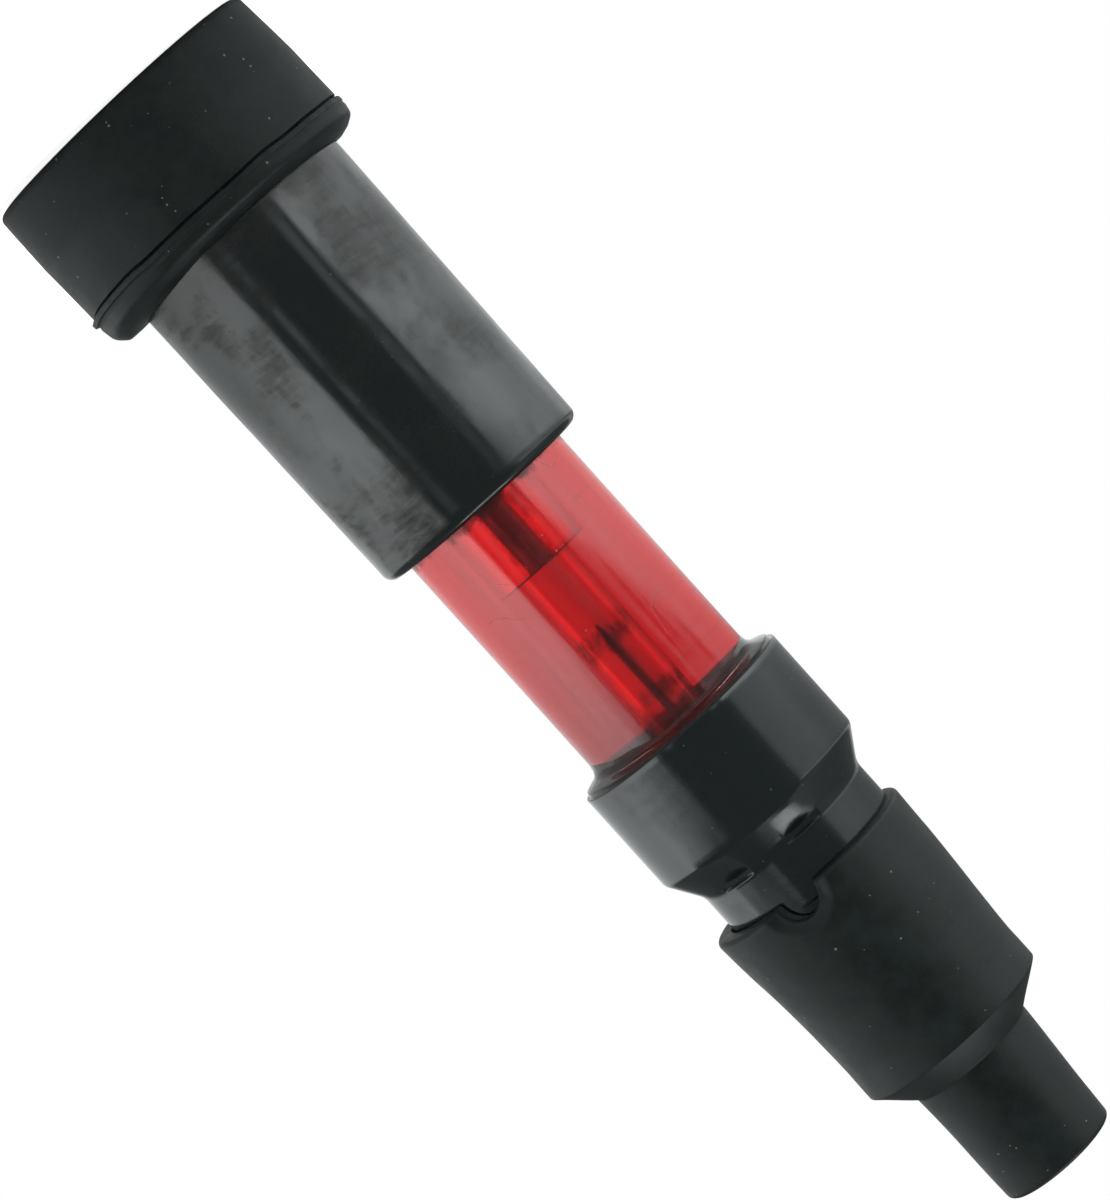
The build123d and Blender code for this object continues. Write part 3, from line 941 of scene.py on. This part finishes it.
class CAP_OT_cable_boot(bpy.types.Operator):
    """The tapered rubber boot, with the notch in its rim and its nozzle bent a little."""

    bl_idname = "cap.cable_boot"
    bl_label = "Cable boot"

    def execute(self, context):
        sizes = context.scene.cap_sizes
        notch = sizes.notch_radius / MM
        bend = sizes.nozzle_bend / MM
        rim = SLEEVE_FOOT
        shoulder = CAP_TOP - 13.75
        nozzle_foot = CAP_TOP - 11.15
        notch_angle = math.radians(-74.5)
        notch_fade = 3.2
        rim_bore = 8.4
        outline = [
            (rim_bore, rim, 0.15),
            (SLEEVE_RADIUS, rim, 0.45),
            (SLEEVE_RADIUS - 0.25, rim + 4.5, 9.0),
            (8.85, rim + 10.5, 12.0),
            (8.7, shoulder - 2.8, 8.0),
            (8.72, shoulder, 0.12),
            (5.65, nozzle_foot, 0.3),
            (5.25, CAP_TOP, 0.45),
            (LEAD_GRIP, CAP_TOP, 0.4),
            (LEAD_GRIP, SPIGOT_TOP + 0.3, 0.2),
            (SLEEVE_BORE, SPIGOT_TOP + 0.3, 0.2),
            (SLEEVE_BORE, rim + 5.1, 0.2),
            (rim_bore - 0.2, rim + 2.6, 0.2),
            (rim_bore - 0.2, rim + 0.8, 0.3),
        ]
        lean = [
            (rim, 0.52 * bend),
            (rim + 9, 0.36 * bend),
            (shoulder, 0.43 * bend),
            (nozzle_foot, 0.74 * bend),
            (CAP_TOP, bend),
        ]

        def shape(radius, height, angle):
            inside = radius < rim_bore + 0.05 and height < SPIGOT_TOP + 0.1
            shift = 0.0 if inside else along(lean, height)
            if not inside and height > rim + 0.3:
                x, y = radius * math.cos(angle), radius * math.sin(angle)
                radius += unevenness(x, y, height, 4.0, 0.05)
            beside = turn_between(angle, notch_angle) * SLEEVE_RADIUS
            if abs(beside) < notch and height < rim + notch_fade:
                lift = math.sqrt(notch * notch - beside * beside)
                height = max(height, rim) + lift * (1 - (height - rim) / notch_fade)
            # The rubber thins towards the notch.
            from_notch = math.hypot(beside, height - rim)
            thinnest = rim_bore + 0.1
            if radius > thinnest:
                thinned = 0.5 * (1 - smooth_step(notch, notch + 1.3, from_notch))
                radius = max(thinnest, radius - thinned)
            return radius * math.cos(angle) + shift, radius * math.sin(angle), height

        piece = turned(
            "rubber_cable_boot",
            outline,
            "cable_boot",
            "cable_boot",
            shape,
            segments=480,
            step=0.4,
            fine=(rim - 1, rim + 3.3, 0.15),
        )
        piece.data.materials.append(epdm_rubber(context.scene.cap_colours.rubber))
        return {"FINISHED"}


class CAP_OT_inner_pieces(bpy.types.Operator):
    """Finishes for the metal, ceramic and cement pieces, which keep their CAD shapes."""

    bl_idname = "cap.inner_pieces"
    bl_label = "Inner pieces"

    def execute(self, context):
        brass = turned_metal("turned_brass", linear("#c9a35a"), 0.25, 0.2)
        soot_black = turned_metal("spark_blackened_nickel", linear("#6a625c"), 0.3, 0.15)
        nickel = turned_metal("bright_nickel", linear("#cdc8c0"), 0.06, 0.15)
        wire = turned_metal("drawn_spring_wire", linear("#9a9a9c"), 0.2, 0.1)
        finishes = {
            "terminal_socket": brass,
            "terminal_insert": brass,
            "cable_screw": brass,
            "screw_washer": brass,
            "gap_electrode": soot_black,
            "resistor_cap_plug_end": nickel,
            "resistor_cap_gap_end": nickel,
            "terminal_clip": wire,
            "contact_spring": wire,
            "resistor_core": unglazed_ceramic(),
            "socket_cement": resin_cement(),
        }
        for node, material in finishes.items():
            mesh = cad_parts[node].data
            mesh.materials.clear()
            mesh.materials.append(material)
        return {"FINISHED"}


# ---- Stage ----
class CAP_OT_stage(bpy.types.Operator):
    """A lit table, light panels on both sides and a camera square to the cap's axis."""

    bl_idname = "cap.stage"
    bl_label = "Stage"

    # Near edge of the light panel on +X, then on -X: between these two heights, in degrees above
    # the horizon, it slants from the first to the second angle from the camera, in degrees.
    PANEL_EDGES = ((5.5, 8.0, 38.0, 88.0), (2.9, 5.4, 37.0, 86.0))
    # Over this height, in degrees, the panel on -X starts at this angle instead.
    UPPER_EDGE = (5.8, 44.0)
    # Middles of two faint strips low down beside the panels, in degrees from the camera.
    STRIPS = (25.5, -30.0)
    # (degrees from the camera's direction, brightness as a share of the brightest)
    PANEL_FADE = ((0, 1.0), (75, 1.0), (106, 0.55), (128, 0.36), (152, 0.28), (180, 0.28))

    # Strength of the panels' light, the share of it in the gap between them, and the table's glow.
    PANEL_LIGHT = 3.6
    GAP_LIGHT = 0.055
    TABLE_GLOW = 0.92

    def execute(self, context):
        scene = context.scene
        scene.view_settings.view_transform = "Standard"
        self.make_floor(scene)
        self.make_world(scene)
        self.make_camera(scene)
        return {"FINISHED"}

    def make_floor(self, scene):
        """A round light table: opal acrylic, lit evenly from below.

        Only the camera sees the glow, so that the table doesn't light the cap from below.
        """
        radius = 0.3
        corners = 96
        edge = [
            (radius * math.cos(angle), radius * math.sin(angle), 0.0)
            for angle in (2 * math.pi * corner / corners for corner in range(corners))
        ]
        mesh = bpy.data.meshes.new("table_top")
        mesh.from_pydata(edge, [], [tuple(range(corners))])
        floor = bpy.data.objects.new("table_top", mesh)
        scene.collection.objects.link(floor)
        material, tree, _ = new_material("lit_opal_acrylic")
        seen = add_node(tree, "ShaderNodeLightPath").outputs["Is Camera Ray"]
        glow = add_node(tree, "ShaderNodeMath", {0: seen, 1: self.TABLE_GLOW}, operation="MULTIPLY")
        shader = add_node(
            tree,
            "ShaderNodeBsdfPrincipled",
            {
                "Base Color": (*linear("#f2f2f2"), 1),
                "Roughness": 0.9,
                "Emission Color": (1, 1, 1, 1),
                "Emission Strength": glow,
            },
        )
        mesh.materials.append(finished(material, shader))

    def make_world(self, scene):
        """Plain white to the camera; to the cap, a panel on each side with a dark gap between."""
        world = bpy.data.worlds.new("studio")
        world.use_nodes = True
        tree = world.node_tree
        tree.nodes.clear()
        place = add_node(tree, "ShaderNodeTexCoord").outputs["Generated"]
        plus_x, plus_y, up = add_node(tree, "ShaderNodeSeparateXYZ", {"Vector": place}).outputs
        to_camera = add_node(tree, "ShaderNodeMath", {0: plus_y, 1: -1.0}, operation="MULTIPLY")
        # The angle from the camera's direction: above 0 towards +X, and then either way.
        signed_turn = add_node(tree, "ShaderNodeMath", {0: plus_x, 1: to_camera}, operation="ARCTAN2")
        turn = add_node(tree, "ShaderNodeMath", {0: signed_turn}, operation="ABSOLUTE")
        # The near edge of each panel, as an angle from the camera, slants with the height.
        edges = []
        for low, high, near, far in self.PANEL_EDGES:
            edge = add_node(
                tree,
                "ShaderNodeMapRange",
                {
                    "Value": up,
                    "From Min": math.sin(math.radians(low)),
                    "From Max": math.sin(math.radians(high)),
                    "To Min": math.radians(near),
                    "To Max": math.radians(far),
                },
            )
            edges.append(edge)
        on_plus_x = add_node(tree, "ShaderNodeMath", {0: plus_x, 1: 0.0}, operation="GREATER_THAN")
        upper_height, upper_angle = self.UPPER_EDGE
        above = add_node(
            tree,
            "ShaderNodeMath",
            {0: up, 1: math.sin(math.radians(upper_height))},
            operation="GREATER_THAN",
        )
        minus_edge = add_node(
            tree, "ShaderNodeMix", {0: above, 2: edges[1], 3: math.radians(upper_angle)}
        )
        edge = add_node(tree, "ShaderNodeMix", {0: on_plus_x, 2: minus_edge, 3: edges[0]})
        past_edge = add_node(tree, "ShaderNodeMath", {0: turn, 1: edge}, operation="SUBTRACT")
        on_panel = add_node(
            tree, "ShaderNodeMapRange", {"Value": past_edge, "From Max": math.radians(5)}, **SMOOTH
        )
        share = add_node(tree, "ShaderNodeMath", {0: turn, 1: math.pi}, operation="DIVIDE")
        ramp = add_node(tree, "ShaderNodeValToRGB", {"Fac": share})
        elements = ramp.color_ramp.elements
        while len(elements) < len(self.PANEL_FADE):
            elements.new(0.5)
        for element, (degrees, brightness) in zip(elements, self.PANEL_FADE):
            element.position = degrees / 180
            element.color = (brightness, brightness, brightness, 1)
        # The panel on -X is dimmer in the middle, where it has a seam, and the one on +X is
        # dimmer near the table.
        from_seam = distance(tree, up, 0.15)
        seam = add_node(
            tree,
            "ShaderNodeMapRange",
            {"Value": from_seam, "From Min": 0.02, "From Max": 0.1, "To Min": 0.28},
            **SMOOTH,
        )
        low_part = add_node(
            tree,
            "ShaderNodeMapRange",
            {"Value": up, "From Min": 0.005, "From Max": 0.028, "To Min": 0.66},
            **SMOOTH,
        )
        dimmed = add_node(tree, "ShaderNodeMix", {0: on_plus_x, 2: seam, 3: low_part})
        side_panel = add_node(tree, "ShaderNodeMath", {0: ramp, 1: dimmed}, operation="MULTIPLY")
        # Both panels end well above and below the horizon.
        height = add_node(tree, "ShaderNodeMath", {0: up}, operation="ABSOLUTE")
        inside_panel = add_node(
            tree,
            "ShaderNodeMapRange",
            {"Value": height, "From Min": 0.16, "From Max": 0.36, "To Min": 1.0, "To Max": 0.14},
            **SMOOTH,
        )
        panel = add_node(tree, "ShaderNodeMath", {0: side_panel, 1: inside_panel}, operation="MULTIPLY")
        # The dark gap between the panels has a faint strip near each of them.
        low_down = add_node(
            tree,
            "ShaderNodeMapRange",
            {"Value": height, "From Min": 0.035, "From Max": 0.06, "To Min": 1.0, "To Max": 0.0},
            **SMOOTH,
        )
        gap = self.GAP_LIGHT
        for middle in self.STRIPS:
            away = distance(tree, signed_turn, math.radians(middle))
            strip = add_node(
                tree,
                "ShaderNodeMapRange",
                {
                    "Value": away,
                    "From Min": math.radians(2),
                    "From Max": math.radians(6.5),
                    "To Min": 0.34,
                    "To Max": 0.0,
                },
                **SMOOTH,
            )
            faint = add_node(tree, "ShaderNodeMath", {0: strip, 1: low_down}, operation="MULTIPLY")
            gap = add_node(tree, "ShaderNodeMath", {0: faint, 1: gap}, operation="MAXIMUM")
        walls = add_node(tree, "ShaderNodeMix", {0: on_panel, 2: gap, 3: panel})
        # A round panel straight overhead lights the table.
        overhead = add_node(
            tree,
            "ShaderNodeMapRange",
            {"Value": up, "From Min": 0.945, "From Max": 0.98, "To Max": 1.2},
            **SMOOTH,
        )
        glow = add_node(tree, "ShaderNodeMath", {0: walls, 1: overhead}, operation="MAXIMUM")
        strength = add_node(
            tree, "ShaderNodeMath", {0: glow, 1: self.PANEL_LIGHT}, operation="MULTIPLY"
        )
        light = add_node(
            tree, "ShaderNodeBackground", {"Color": (*linear("#fbffff"), 1), "Strength": strength}
        )
        seen = add_node(tree, "ShaderNodeBackground", {"Color": (1, 1, 1, 1), "Strength": 1.0})
        path = add_node(tree, "ShaderNodeLightPath")
        mix = add_node(
            tree, "ShaderNodeMixShader", {0: path.outputs["Is Camera Ray"], 1: light, 2: seen}
        )
        add_node(tree, "ShaderNodeOutputWorld", {"Surface": mix})
        scene.world = world

    def make_camera(self, scene):
        """A long lens at the cap's side, rolled so that the cap lies across the picture."""
        place = Vector((0.0, -387.0, 26.0)) * MM
        aim = Vector((1.13, 0.0, 52.3)) * MM
        roll = math.radians(48)
        forward = (aim - place).normalized()
        right = forward.cross(Vector((0, 0, 1))).normalized()
        up = right.cross(forward)
        camera_right = up * math.cos(roll) - right * math.sin(roll)
        camera_up = -up * math.sin(roll) - right * math.cos(roll)
        turn = Matrix((camera_right, camera_up, -forward)).transposed()
        data = bpy.data.cameras.new("camera")
        data.lens = 146.2
        data.sensor_width = 36
        camera = bpy.data.objects.new("camera", data)
        camera.matrix_world = Matrix.Translation(place) @ turn.to_4x4()
        scene.collection.objects.link(camera)
        scene.camera = camera


class CAP_PT_panel(bpy.types.Panel):
    """Lists the cap's sizes, colours and build steps."""

    bl_idname = "CAP_PT_panel"
    bl_label = "Spark plug cap"
    bl_space_type = "VIEW_3D"
    bl_region_type = "UI"
    bl_category = "Plug Cap"

    def draw(self, context):
        for group in (context.scene.cap_sizes, context.scene.cap_colours):
            for name in group.__annotations__:
                self.layout.prop(group, name)
        for operator in OPERATORS:
            self.layout.operator(operator.bl_idname)


OPERATORS = (
    CAP_OT_plug_boot,
    CAP_OT_barrel,
    CAP_OT_window,
    CAP_OT_resin,
    CAP_OT_collar,
    CAP_OT_cable_boot,
    CAP_OT_inner_pieces,
    CAP_OT_stage,
)
CLASSES = (CapSizes, CapColours, *OPERATORS, CAP_PT_panel)


def register():
    """Registers the classes and the scene's settings."""
    for cls in CLASSES:
        bpy.utils.register_class(cls)
    bpy.types.Scene.cap_sizes = bpy.props.PointerProperty(type=CapSizes)
    bpy.types.Scene.cap_colours = bpy.props.PointerProperty(type=CapColours)


def unregister():
    """Takes the settings and the classes away again."""
    del bpy.types.Scene.cap_colours
    del bpy.types.Scene.cap_sizes
    for cls in reversed(CLASSES):
        bpy.utils.unregister_class(cls)


def main():
    register()
    bpy.ops.cap.plug_boot()
    bpy.ops.cap.barrel()
    bpy.ops.cap.window()
    bpy.ops.cap.resin()
    bpy.ops.cap.collar()
    bpy.ops.cap.cable_boot()
    bpy.ops.cap.inner_pieces()
    bpy.ops.cap.stage()


if __name__ == "__main__":
    main()
